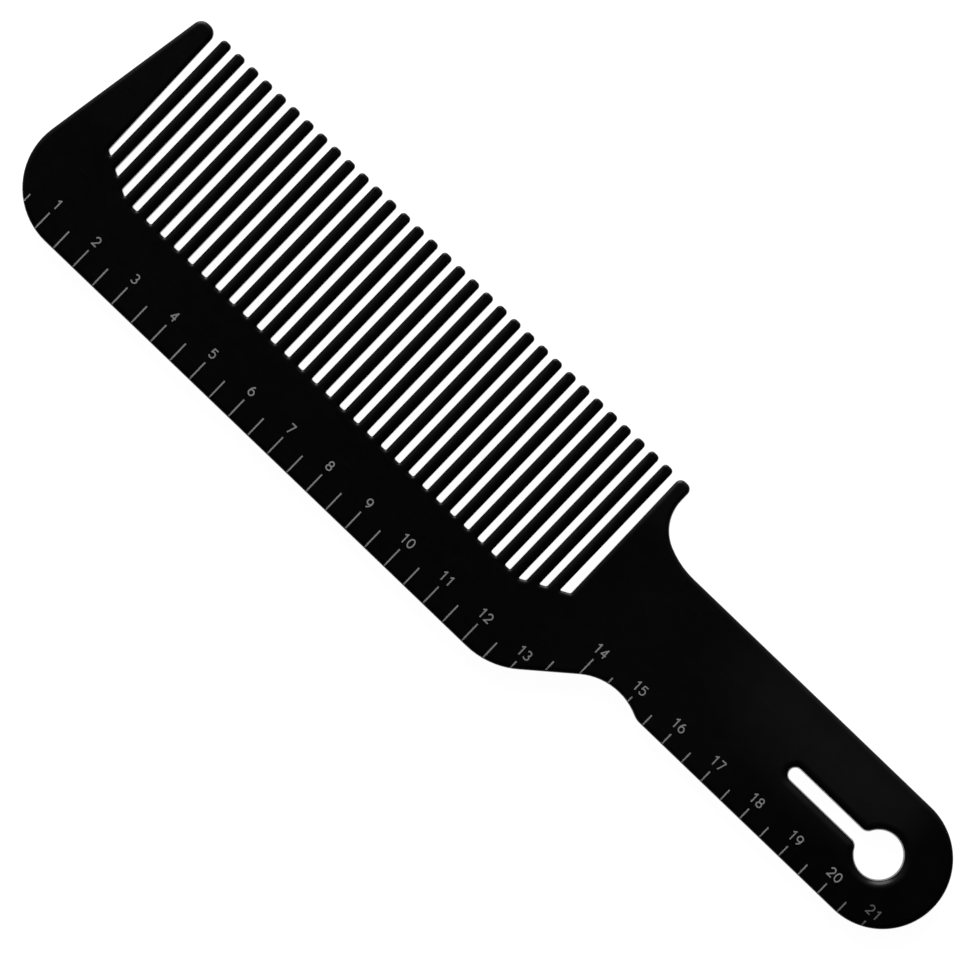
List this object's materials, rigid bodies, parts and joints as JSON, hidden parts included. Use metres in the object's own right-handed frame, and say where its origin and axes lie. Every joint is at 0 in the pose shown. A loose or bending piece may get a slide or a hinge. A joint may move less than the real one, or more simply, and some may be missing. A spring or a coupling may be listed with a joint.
{
  "type": "hair comb",
  "caption": "Flat barber's comb with a wide toothed blade, guard teeth, a straight handle with a keyhole to hang it by, and a centimetre scale along the spine.",
  "frame": {"origin": "middle of the comb's length and width, on the surface that its plain face lies on", "axes": "+X from the nose to the round end of the handle, +Y from the ruler edge to the tooth tips, +Z out of the printed face"},
  "size_m": [0.2182, 0.0502, 0.0041],
  "materials": {
    "black_plastic": "satin black moulded plastic",
    "scale_ink": "pale grey printed ink"
  },
  "bodies": {
    "root": {"spine": "black_plastic", "front_guard": "black_plastic", "teeth": "black_plastic", "heel_guard": "black_plastic", "handle": "black_plastic", "centimetre_marks": "scale_ink", "half_centimetre_marks": "scale_ink", "scale_numbers": "scale_ink"}
  },
  "joints": []
}
